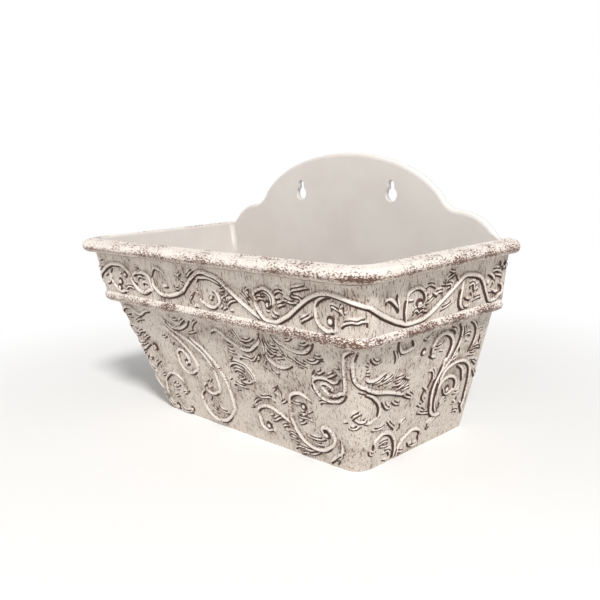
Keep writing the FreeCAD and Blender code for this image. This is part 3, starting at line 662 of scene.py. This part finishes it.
def carved_walls(name, half, lean, corner, low_z, high_z, front_text, end_text, front_grid, material):
    """The carved outside of one tier: the front with both corners, then the two ends."""
    front_scrolls, end_scrolls = read_scrolls(front_text), read_scrolls(end_text)
    made = []
    for part, side in (("front", 0.0), ("right_end", 1.0), ("left_end", -1.0)):
        grid = front_grid if part == "front" else FINE_GRID
        levels = np.linspace(low_z, high_z, int((high_z - low_z) / grid) + 1)
        if part == "front":
            carved = carved_front(half, corner, grid, levels, front_scrolls, end_scrolls)
        else:
            carved = carved_end(side, half, corner, grid, levels, end_scrolls)
        surface, out_x, out_y, height, wash_and_shade = carved
        height = blur(height, SOFTNESS / grid)
        hollow = np.clip((blur(height, HOLLOW_REACH / grid) - height) / HOLLOW_DEPTH, 0.0, 1.0)
        near_carving = np.clip(DARKEN_GAIN * blur(height, DARKEN_REACH / grid), 0.0, 1.0)
        relief = GROUND + height - CREASE_DEPTH * wash_and_shade
        down = -math.sin(lean) * np.ones_like(height)
        outwards = np.stack([out_x * math.cos(lean), out_y * math.cos(lean), down], axis=-1)
        outer = surface + outwards * relief[..., None]
        inner = surface - outwards * WALL / 3.0
        for sheet in (outer, inner):
            sheet[..., 2] = np.maximum(sheet[..., 2], 0.0)
        # Marks: brown wash and painted shade at the creases and hollows, a painted highlight on high ridges
        # (crest), a darker ground round the carving, and a little chipping on the ridges.
        marks = {
            "wash_and_shade": np.clip(wash_and_shade + HOLLOW_BROWN * hollow, 0.0, 1.0),
            "crest": np.clip(height / CREST_HEIGHT, 0.0, 1.0),
            "near_carving": near_carving,
            "wear": CARVED_WEAR * np.clip(height / WEAR_HEIGHT, 0.0, 1.0),
        }
        made.append(slab(f"{name}_{part}", outer, inner[0], inner[-1], marks, material))
    return made


def u_path(half, corner, straight=3.0, bend=24):
    """The outline round the front, from the back left to the back right: points and outward directions."""
    front_y = BACK_Y - half - EXTRA_REACH
    path = []
    close = [BACK_Y - back for back in (BEHIND, 0.5, 1.0, 1.8)]
    for y in close + list(np.arange(BACK_Y - END_ROUND, front_y + corner, -straight)):
        path.append(((-half, y), (-1.0, 0.0)))
    for angle in np.linspace(math.pi, 1.5 * math.pi, bend):
        out = (math.cos(angle), math.sin(angle))
        path.append(((-half + corner + corner * out[0], front_y + corner + corner * out[1]), out))
    for x in np.arange(-half + corner + straight, half - corner, straight):
        path.append(((x, front_y), (0.0, -1.0)))
    right = [((-x, y), (-out_x, out_y)) for (x, y), (out_x, out_y) in path if x < -half + corner + 1e-6]
    return path + right[::-1]


def moulding(name, half, corner, painted, paint, lined=(), lining=None):
    """A closed profile swept round the front. Each profile point is (out, z, brown, crest, wear), where the
    brown is wash and painted shade and crest is a painted highlight.

    The lined points come first, and their faces take the lining. The cast surface is a little uneven.
    """
    path = u_path(half, corner)
    profile = list(lined) + list(painted)
    count = len(profile)
    reach = max(out for out, *_ in profile)
    points, marks = [], []
    travelled = 0.0
    last = path[0][0]
    for (x, y), (out_x, out_y) in path:
        travelled += math.hypot(x - last[0], y - last[1])
        last = (x, y)
        from_back = min(BACK_Y - y, END_ROUND)
        rounding = END_ROUND - math.sqrt(END_ROUND**2 - (END_ROUND - from_back) ** 2)
        for j, (out, z, *mark) in enumerate(profile):
            wobble = math.sin(0.23 * travelled + 0.4 * j) + math.sin(0.39 * travelled - 0.6 * j)
            out += (UNEVEN * wobble - rounding * out / reach) * (out > 0.0)
            points.append(((x + out * out_x) * MM, (y + out * out_y) * MM, z * MM))
            marks.append(mark)
    faces = []
    for k in range(len(path) - 1):
        for j in range(count):
            a, b = k * count + j, k * count + (j + 1) % count
            faces.append((a, b, b + count, a + count))
    faces.append(tuple(range(count))[::-1])
    faces.append(tuple(range((len(path) - 1) * count, len(path) * count)))
    mesh = bpy.data.meshes.new(name)
    mesh.from_pydata(points, [], faces)
    for key, values in zip(("wash_and_shade", "crest", "wear"), zip(*marks)):
        add_attribute(mesh, key, values)
    made = add_object(name, mesh, paint)
    if lined:
        mesh.materials.append(lining)
        for k, polygon in enumerate(mesh.polygons[:-2]):
            polygon.material_index = int(k % count < len(lined))
    return made


def round_profile(centre_out, centre_z, radius, start, end, count, marks):
    """Points of an arc. marks holds (brown, crest, wear) at places spread evenly along it: brown wash and
    painted shade, painted highlight, and wear.
    """
    points = []
    marks = np.array(marks)
    for share in np.linspace(0.0, 1.0, count):
        angle = math.radians(start + (end - start) * share)
        mark = [float(np.interp(share, np.linspace(0.0, 1.0, len(marks)), column)) for column in marks.T]
        points.append((centre_out + radius * math.cos(angle), centre_z + radius * math.sin(angle), *mark))
    return points


def rim_profile():
    """The rim: its lined points are a thin skin inside the frieze and the inner half of its rounding."""
    slope = math.tan(FRIEZE_LEAN)
    skin = -WALL / math.cos(FRIEZE_LEAN) - SKIN
    inner_z = RIM_TOP - RIM_INNER_ROUND
    inner = skin + (inner_z - RIM_Z) * slope
    centre = inner + RIM_INNER_ROUND
    nose_z = RIM_TOP - RIM_TOP_FALL - RIM_NOSE
    over = RIM_OVERHANG - RIM_NOSE
    plain = (0.0, 0.0, 0.0)
    low = skin - (RIM_Z - SHELF_Z) * slope
    lined = [(low + 1.0, SHELF_Z, *plain), (low, SHELF_Z, *plain), (low + 0.04, SHELF_Z + 0.3, *plain)]
    lined += round_profile(centre, inner_z, RIM_INNER_ROUND, 180.0, 145.0, 4, (plain, plain))
    # crest paints a highlight on the rim's top and upper nose, and fades to none under the nose.
    turned_in = ((0.0, 1.0, 0.15), (0.0, 1.0, 0.3))
    painted = round_profile(centre, inner_z, RIM_INNER_ROUND, 135.0, 92.0, 5, turned_in)
    painted += [(centre + 2.5, RIM_TOP - 0.15, 0.0, 1.0, 0.3), (over - 2.5, RIM_TOP - 0.6, 0.0, 1.0, 0.4)]
    nose = [(0.0, 1.0, 0.35), (0.0, 1.0, 0.3), (0.0, 1.0, 0.5)]
    nose += [(0.25, 0.5, 1.0), (0.1, 0.0, 0.15), (0.15, 0.0, 0.0)]
    painted += round_profile(over, nose_z, RIM_NOSE, 88.0, -88.0, 25, nose)
    # The brown under the rim is wash and painted shade, strongest where it meets the wall.
    hollow_z = nose_z - RIM_NOSE
    painted += [(over - 1.5, hollow_z - 0.3, 0.2, 0.0, 0.1), (2.5, hollow_z - 1.1, 0.3, 0.0, 0.0)]
    painted += [(1.0, hollow_z - 1.6, 0.5, 0.0, 0.0), (0.0, RIM_Z, 0.6, 0.0, 0.0)]
    painted += [(skin + 1.0, RIM_Z, *plain)]
    return lined, painted


def band_profile():
    """The half-round band, whose flat ends lie in the walls over and under it."""
    centre_out, centre_z = BAND_OVERHANG - BAND_RADIUS, BAND_Z + BAND_RADIUS / 2.0
    inside = -BAND_STEP + 0.1
    top_z, foot_z = centre_z + BAND_RADIUS, centre_z - BAND_RADIUS
    # crest paints a highlight on the bead's top; the brown where the band meets the walls and under the bead
    # is wash and painted shade.
    bead = [(0.3, 0.4, 0.1), (0.0, 1.0, 0.25), (0.0, 1.0, 0.75)]
    bead += [(0.25, 0.6, 0.9), (0.15, 0.0, 0.2), (0.3, 0.0, 0.0)]
    profile = [(-WALL / 2.0, top_z, 0.9, 0.0, 0.0), (centre_out - 0.3, top_z, 0.5, 0.1, 0.1)]
    profile += round_profile(centre_out, centre_z, BAND_RADIUS, 85.0, -85.0, 22, bead)
    profile += [(centre_out - 0.4, foot_z, 0.5, 0.0, 0.0), (inside, foot_z - 1.2, 0.8, 0.0, 0.0)]
    profile += [(inside, BAND_Z + 0.5, 0.0, 0.0, 0.0), (-WALL / 2.0, BAND_Z + 1.0, 0.0, 0.0, 0.0)]
    return profile


# ---- hanging plate ----
def plate_outline():
    """The plate's outline over the rim, from the right end to the left, as (x, z)."""
    arch_z = HEIGHT - ARCH_RISE

    def on_arch(turn):
        x, z = ARCH_HALF * math.cos(turn), ARCH_RISE * math.sin(turn)
        out = np.array([x / ARCH_HALF**2, z / ARCH_RISE**2])
        return np.array([x, arch_z + z]), out / np.hypot(*out)

    def stretch(centre, radius, start, end, count):
        angles = np.linspace(start, end, count)
        return [(centre[0] + radius * math.cos(a), centre[1] + radius * math.sin(a)) for a in angles]

    shoulder_z = SHOULDER_HEIGHT - SHOULDER_RADIUS
    rim_x = frieze_half(RIM_TOP) - WALL / math.cos(FRIEZE_LEAN) - SHOULDER_GAP
    shoulder = np.array([rim_x - math.sqrt(SHOULDER_RADIUS**2 - (RIM_TOP - shoulder_z) ** 2), shoulder_z])
    low, high = -math.pi / 4.0, math.pi / 2.0
    while high - low > 1e-7:
        turn = (low + high) / 2.0
        point, out = on_arch(turn)
        cove = point + COVE_RADIUS * out
        if np.hypot(*(cove - shoulder)) < SHOULDER_RADIUS + COVE_RADIUS:
            low = turn
        else:
            high = turn
    cove_angle = math.atan2(cove[1] - shoulder[1], cove[0] - shoulder[0])
    arch_angle = math.atan2(-out[1], -out[0]) % (2.0 * math.pi) - 2.0 * math.pi
    rim_angle = math.asin((RIM_TOP - shoulder_z) / SHOULDER_RADIUS)
    half = stretch(shoulder, SHOULDER_RADIUS, rim_angle, cove_angle, 26)
    half += stretch(cove, COVE_RADIUS, cove_angle - math.pi, arch_angle, 16)[1:]
    half += [tuple(on_arch(step)[0]) for step in np.linspace(turn, math.pi / 2.0, 70)[1:]]
    return half + [(-x, z) for x, z in half[-2::-1]]


def keyhole_outline(x):
    """A round lobe with a slot over it that ends in a half circle."""
    points = []
    spread = math.asin(KEYHOLE_SLOT / KEYHOLE_LOBE)
    for angle in np.linspace(math.pi / 2.0 + spread, 2.5 * math.pi - spread, 36):
        points.append((x + KEYHOLE_LOBE * math.cos(angle), KEYHOLE_Z + KEYHOLE_LOBE * math.sin(angle)))
    top_z = KEYHOLE_Z + KEYHOLE_RISE
    for angle in np.linspace(0.0, math.pi, 18):
        points.append((x + KEYHOLE_SLOT * math.cos(angle), top_z + KEYHOLE_SLOT * math.sin(angle)))
    return points


def inset(points, amount):
    """The closed outline moved inwards, to its left as it runs."""
    ring = np.array(points)
    along = np.roll(ring, -1, 0) - np.roll(ring, 1, 0)
    along /= np.hypot(*along.T)[:, None]
    return ring + amount * np.stack([-along[:, 1], along[:, 0]], axis=1)


def hanging_plate(material):
    """The plate with both keyholes. Each outline is rounded at the front and closed flat at the back."""
    inner_z = RIM_TOP - RIM_INNER_ROUND
    side = [(body_half(FLOOR_Z), FLOOR_Z), (body_half(SHELF_Z), SHELF_Z)]
    side += [(frieze_half(SHELF_Z), SHELF_Z), (frieze_half(inner_z), inner_z)]
    side = [(half - WALL, z) for half, z in side]
    outline = plate_outline() + [(-x, z) for x, z in side[::-1]] + side
    front_y = BACK_Y - PLATE_THICKNESS
    loops = []
    bm = bmesh.new()
    holes = [keyhole_outline(x)[::-1] for x in (-KEYHOLE_X, KEYHOLE_X)]
    for points, rounding in [(outline, PLATE_EDGE)] + [(hole, HOLE_EDGE) for hole in holes]:
        over_rim = np.clip((np.array(points)[:, 1] - RIM_TOP) / EDGE_RISE, EDGE_LEAST, 1.0)[:, None]
        rings = [(points, BACK_Y)]
        for angle in np.radians([0.0, 18.0, 36.0, 54.0, 72.0, 90.0]):
            ring = inset(points, rounding * over_rim * (1.0 - math.cos(angle)))
            rings.append((ring, front_y + rounding * (1.0 - math.sin(angle))))
        made = []
        for ring, y in rings:
            made.append([bm.verts.new((x * MM, y * MM, z * MM)) for x, z in ring])
        for first, second in zip(made, made[1:]):
            for j in range(len(first)):
                k = (j + 1) % len(first)
                bm.faces.new((first[j], first[k], second[k], second[j]))
        loops.append(made)
    for end in (0, -1):
        edges = []
        for made in loops:
            ring = made[end]
            for j in range(len(ring)):
                edges.append(bm.edges.get((ring[j], ring[(j + 1) % len(ring)])))
        bmesh.ops.triangle_fill(bm, use_beauty=True, use_dissolve=False, edges=edges)
    bmesh.ops.recalc_face_normals(bm, faces=bm.faces)
    mesh = bpy.data.meshes.new("hanging_plate")
    bm.to_mesh(mesh)
    places = np.array([v.co for v in mesh.vertices]) / MM
    edge = np.clip((places[:, 1] - front_y + 0.05) / PLATE_EDGE, 0.0, 1.0) * (places[:, 2] > RIM_TOP - 2.0)
    add_attribute(mesh, "edge", edge)
    plate = add_object("hanging_plate", mesh, material)
    for polygon in mesh.polygons:
        polygon.use_smooth = len(polygon.vertices) == 4
    return plate


def inside_corner(side, material):
    """The hollow strip where the plate meets one end, in two lengths."""
    strips = [
        (FLOOR_Z, SHELF_Z, body_half, WALL / math.cos(BODY_LEAN)),
        (SHELF_Z, RIM_TOP - RIM_INNER_ROUND, frieze_half, WALL / math.cos(FRIEZE_LEAN)),
    ]
    points, faces = [], []
    front_y = BACK_Y - PLATE_THICKNESS
    for low_z, high_z, half, wall in strips:
        base = len(points)
        for z in (low_z, high_z):
            wall_x = half(z) - wall
            section = [(wall_x + 0.4, front_y + 0.4)]
            for angle in np.linspace(0.0, math.pi / 2.0, 9):
                section.append((
                    wall_x - INSIDE_CORNER + INSIDE_CORNER * math.sin(angle),
                    front_y - INSIDE_CORNER + INSIDE_CORNER * math.cos(angle),
                ))
            points += [(side * x * MM, y * MM, z * MM) for x, y in section]
        count = (len(points) - base) // 2
        for j in range(count):
            k = (j + 1) % count
            faces.append((base + j, base + k, base + count + k, base + count + j))
        faces.append(tuple(range(base, base + count)))
        faces.append(tuple(range(base + count, base + 2 * count)))
    mesh = bpy.data.meshes.new("inside_corner")
    mesh.from_pydata(points, [], faces)
    bm = bmesh.new()
    bm.from_mesh(mesh)
    bmesh.ops.recalc_face_normals(bm, faces=bm.faces)
    bm.to_mesh(mesh)
    name = "inside_corner_right" if side > 0 else "inside_corner_left"
    return add_object(name, mesh, material)


# ---- materials ----
LIGHT_GROUND, DARK_GROUND, PAINTED_HIGHLIGHT = "DED4CA", "C5B9AD", "E8DFD6"
DARKER_TONE, DASH, THIN_PAINT, CHIP, WASH_AND_SHADE = "9A8A7D", "6B5144", "A17F70", "624539", "4C3227"
LIGHT_LINING, DARK_LINING, PLATE_EDGE_PAINT = "DAD4CE", "D3CCC6", "E6E2DC"
LIGHT_STOPPER, DARK_STOPPER, PAPER = "5A5754", "484542", "F2F1EF"


def linear(code):
    """A colour written as RRGGBB, as scene-linear values."""
    values = [int(code[k:k + 2], 16) / 255.0 for k in (0, 2, 4)]
    return [v / 12.92 if v <= 0.04045 else ((v + 0.055) / 1.055) ** 2.4 for v in values] + [1.0]


class Nodes:
    """Short ways to add and join the nodes of one material."""

    def __init__(self, name):
        self.material = bpy.data.materials.new(name)
        self.material.use_nodes = True
        self.tree = self.material.node_tree
        self.shader = self.tree.nodes["Principled BSDF"]
        self.place = self.tree.nodes.new("ShaderNodeTexCoord").outputs["Object"]

    def link(self, value, socket):
        if isinstance(value, bpy.types.NodeSocket):
            self.tree.links.new(value, socket)
        else:
            socket.default_value = value

    def attribute(self, name):
        node = self.tree.nodes.new("ShaderNodeAttribute")
        node.attribute_name = name
        return node.outputs["Fac"]

    def noise(self, scale, detail=3.0, stretch=(1.0, 1.0, 1.0), roughness=0.55):
        mapping = self.tree.nodes.new("ShaderNodeMapping")
        mapping.inputs["Scale"].default_value = stretch
        self.link(self.place, mapping.inputs["Vector"])
        node = self.tree.nodes.new("ShaderNodeTexNoise")
        for key, value in (("Scale", scale), ("Detail", detail), ("Roughness", roughness)):
            node.inputs[key].default_value = value
        self.link(mapping.outputs["Vector"], node.inputs["Vector"])
        return node.outputs["Fac"]

    def math(self, operation, first, second=0.0):
        node = self.tree.nodes.new("ShaderNodeMath")
        node.operation = operation
        node.use_clamp = True
        self.link(first, node.inputs[0])
        self.link(second, node.inputs[1])
        return node.outputs[0]

    def share(self, value, part):
        return self.math("MULTIPLY", value, part)

    def ramp(self, value, low, high):
        """0 at low and 1 at high, smoothly."""
        node = self.tree.nodes.new("ShaderNodeMapRange")
        node.interpolation_type = "SMOOTHSTEP"
        self.link(value, node.inputs["Value"])
        node.inputs["From Min"].default_value = low
        node.inputs["From Max"].default_value = high
        return node.outputs["Result"]

    def mix(self, amount, first, second):
        node = self.tree.nodes.new("ShaderNodeMix")
        node.data_type = "RGBA"
        self.link(amount, node.inputs["Factor"])
        self.link(first, node.inputs[6])
        self.link(second, node.inputs[7])
        return node.outputs[2]

    def bump(self, height, distance, strength=1.0):
        node = self.tree.nodes.new("ShaderNodeBump")
        node.inputs["Strength"].default_value = strength
        node.inputs["Distance"].default_value = distance
        self.link(height, node.inputs["Height"])
        self.link(node.outputs["Normal"], self.shader.inputs["Normal"])


def antiqued_material():
    """Off-white paint, with brown wash and painted shade in the creases and under the mouldings, a painted
    highlight on high places, chips on the mouldings, and a darker ground between the scrolls.
    """
    n = Nodes("antiqued")
    wash_and_shade, crest, near_carving, wear = [n.attribute(key) for key in ("wash_and_shade", "crest", "near_carving", "wear")]
    cloud = n.noise(48.0, detail=4.0)
    grain = n.noise(1100.0, roughness=0.65)
    dashes = n.noise(900.0, stretch=(1.0, 1.0, 0.16), roughness=0.65)
    chips = n.noise(1200.0, stretch=(0.5, 0.5, 0.9), roughness=0.7)
    patches = n.noise(75.0, detail=2.0, stretch=(0.7, 0.7, 1.0))

    ground = n.mix(n.ramp(grain, 0.35, 0.65), linear(LIGHT_GROUND), linear(DARK_GROUND))
    # The ground is darker in clouds and round the carving.
    darker = n.ramp(n.math("ADD", n.share(near_carving, 0.16), cloud), 0.46, 0.74)
    ground = n.mix(n.share(darker, 0.5), ground, linear(DARKER_TONE))
    dashed = n.ramp(n.math("ADD", dashes, n.share(darker, 0.07)), 0.57, 0.64)
    ground = n.mix(n.share(dashed, 0.85), ground, linear(DASH))
    # Painted highlight: high ridges and the mouldings' tops are lighter.
    painted = n.mix(n.ramp(crest, 0.35, 0.9), ground, linear(PAINTED_HIGHLIGHT))

    worn = n.math("ADD", n.math("ADD", chips, n.share(wear, 0.16)), n.share(patches, 0.5))
    moulded = n.ramp(wear, 0.0, 0.08)
    thin = n.math("MULTIPLY", n.ramp(worn, 0.79, 0.9), moulded)
    bare = n.math("MULTIPLY", n.ramp(worn, 0.88, 0.935), moulded)
    painted = n.mix(n.share(thin, 0.5), painted, linear(THIN_PAINT))
    painted = n.mix(bare, painted, linear(CHIP))
    # Brown wash and painted shade in the creases, the hollows and under the mouldings.
    brown = n.ramp(n.math("ADD", wash_and_shade, n.share(grain, 0.5)), 0.45, 0.6)
    n.link(n.mix(brown, painted, linear(WASH_AND_SHADE)), n.shader.inputs["Base Color"])
    n.shader.inputs["Roughness"].default_value = 0.55
    n.bump(n.math("ADD", n.share(grain, 0.9), n.share(chips, 0.3)), 0.0004)
    return n.material


def lining_material():
    """The smooth inside and the plate, with whiter paint round the plate's edge."""
    n = Nodes("smooth_lining")
    edge = n.attribute("edge")
    cloud = n.noise(22.0)
    fine = n.noise(240.0, detail=2.0)
    plain = n.mix(n.ramp(cloud, 0.35, 0.7), linear(LIGHT_LINING), linear(DARK_LINING))
    white = n.mix(n.ramp(edge, 0.15, 0.6), plain, linear(PLATE_EDGE_PAINT))
    n.link(white, n.shader.inputs["Base Color"])
    n.shader.inputs["Roughness"].default_value = 0.42
    n.bump(fine, 0.00006, 0.6)
    return n.material


def stopper_material():
    """Dark rubber, faintly clouded."""
    n = Nodes("stopper")
    cloud = n.noise(160.0)
    n.link(n.mix(cloud, linear(LIGHT_STOPPER), linear(DARK_STOPPER)), n.shader.inputs["Base Color"])
    n.shader.inputs["Roughness"].default_value = 0.6
    n.bump(cloud, 0.0001, 0.4)
    return n.material


# ---- assembly ----
antiqued = antiqued_material()
lining = lining_material()
stopper = stopper_material()

tiers = (
    ("panel", body_half, BODY_LEAN, BODY_CORNER, PANEL_FOOT, PANEL_TOP, FRONT_PANEL, END_PANEL, PANEL_GRID),
    ("frieze", frieze_half, FRIEZE_LEAN, FRIEZE_CORNER, FRIEZE_FOOT, FRIEZE_TOP, FRONT_FRIEZE, END_FRIEZE,
     FINE_GRID),
)
for tier, *shape in tiers:
    for wall, side in zip(carved_walls(tier, *shape, antiqued), ("front", "right", "left")):
        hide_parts(f"relief_{side}_{tier}")

rim_lined, rim_painted = rim_profile()
rim = moulding("rolled_rim", FRIEZE_TOP_HALF, FRIEZE_CORNER, rim_painted, antiqued, rim_lined, lining)
band = moulding("half_round_band", FRIEZE_FOOT_HALF, FRIEZE_CORNER, band_profile(), antiqued)
plate = hanging_plate(lining)
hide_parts("rim_moulding")
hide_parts("band_moulding")
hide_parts("back_plate")
for side in (-1.0, 1.0):
    inside_corner(side, lining)

for name, material in (("trough_shell", lining), ("drain_plug_left", stopper), ("drain_plug_right", stopper)):
    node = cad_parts[name]
    node.data.materials.clear()
    node.data.materials.append(material)

# ---- floor, lights and camera ----
FADE_START, FADE_END = 0.2, 0.5  # where the floor turns white, away from the planter
FLOOR_REACH = 3.0
AMBIENT = 0.34
LIGHT_AIM = Vector((0.0, 0.0, 0.1))
CAMERA_PLACE = Vector((0.40064, -0.36657, 0.20232))
CAMERA_AIM = Vector((0.02344, 0.00129, 0.09924))
CAMERA_ROLL = math.radians(-2.06)
CAMERA_LENS = 44.4


def studio_floor():
    """Pale paper that keeps the planter's shadow and turns white further out."""
    corners = [(x * FLOOR_REACH, y * FLOOR_REACH, 0.0) for x, y in ((-1, -1), (1, -1), (1, 1), (-1, 1))]
    mesh = bpy.data.meshes.new("floor")
    mesh.from_pydata(corners, [], [(0, 1, 2, 3)])
    thing = bpy.data.objects.new("floor", mesh)
    scene.collection.objects.link(thing)
    n = Nodes("paper")
    n.link(linear(PAPER), n.shader.inputs["Base Color"])
    n.shader.inputs["Roughness"].default_value = 0.9
    glow = n.tree.nodes.new("ShaderNodeEmission")
    away = n.tree.nodes.new("ShaderNodeVectorMath")
    away.operation = "LENGTH"
    n.link(n.place, away.inputs[0])
    eye = n.tree.nodes.new("ShaderNodeLightPath")
    faded = n.tree.nodes.new("ShaderNodeMixShader")
    far = n.ramp(away.outputs["Value"], FADE_START, FADE_END)
    n.link(n.math("MULTIPLY", far, eye.outputs["Is Camera Ray"]), faded.inputs[0])
    n.link(n.shader.outputs[0], faded.inputs[1])
    n.link(glow.outputs[0], faded.inputs[2])
    n.link(faded.outputs[0], n.tree.nodes["Material Output"].inputs["Surface"])
    mesh.materials.append(n.material)
    return thing


def studio_world():
    """White where it is seen, mirrored or seen through, and dimmer as a light."""
    world = bpy.data.worlds.new("studio")
    scene.world = world
    world.use_nodes = True
    tree = world.node_tree
    dim = tree.nodes["Background"]
    white = tree.nodes.new("ShaderNodeBackground")
    for background, strength in ((dim, AMBIENT), (white, 1.0)):
        background.inputs["Color"].default_value = (1.0, 1.0, 1.0, 1.0)
        background.inputs["Strength"].default_value = strength
    path = tree.nodes.new("ShaderNodeLightPath")
    seen = path.outputs["Is Camera Ray"]
    for ray in ("Is Glossy Ray", "Is Transmission Ray"):
        either = tree.nodes.new("ShaderNodeMath")
        either.operation = "MAXIMUM"
        tree.links.new(seen, either.inputs[0])
        tree.links.new(path.outputs[ray], either.inputs[1])
        seen = either.outputs[0]
    blend = tree.nodes.new("ShaderNodeMixShader")
    for source, socket in zip((seen, dim.outputs[0], white.outputs[0]), blend.inputs):
        tree.links.new(source, socket)
    tree.links.new(blend.outputs[0], tree.nodes["World Output"].inputs["Surface"])


def soft_light(name, place, size, power):
    data = bpy.data.lights.new(name, "AREA")
    data.shape = "DISK"
    data.size = size
    data.energy = power
    lamp = bpy.data.objects.new(name, data)
    lamp.location = place
    lamp.rotation_euler = (LIGHT_AIM - Vector(place)).to_track_quat("-Z", "Y").to_euler()
    scene.collection.objects.link(lamp)


def add_camera():
    """The photo's camera, rolled a little about its line of sight."""
    data = bpy.data.cameras.new("camera")
    data.lens = CAMERA_LENS
    data.sensor_width = 36.0
    data.clip_start = 0.01
    camera = bpy.data.objects.new("camera", data)
    forward = (CAMERA_AIM - CAMERA_PLACE).normalized()
    level = forward.cross(Vector((0.0, 0.0, 1.0))).normalized()
    upright = level.cross(forward)
    right = math.cos(CAMERA_ROLL) * level + math.sin(CAMERA_ROLL) * upright
    above = math.cos(CAMERA_ROLL) * upright - math.sin(CAMERA_ROLL) * level
    turned = Matrix((right, above, -forward)).transposed().to_4x4()
    camera.matrix_world = Matrix.Translation(CAMERA_PLACE) @ turned
    scene.collection.objects.link(camera)
    scene.camera = camera


floor = studio_floor()
studio_world()
soft_light("key", (1.8, -1.3, 2.3), 0.6, 92.0)
soft_light("fill", (-1.2, -1.0, 0.7), 1.2, 3.5)
soft_light("front", (0.3, -1.6, 0.6), 1.0, 2.0)
add_camera()
scene.view_settings.view_transform = "Standard"
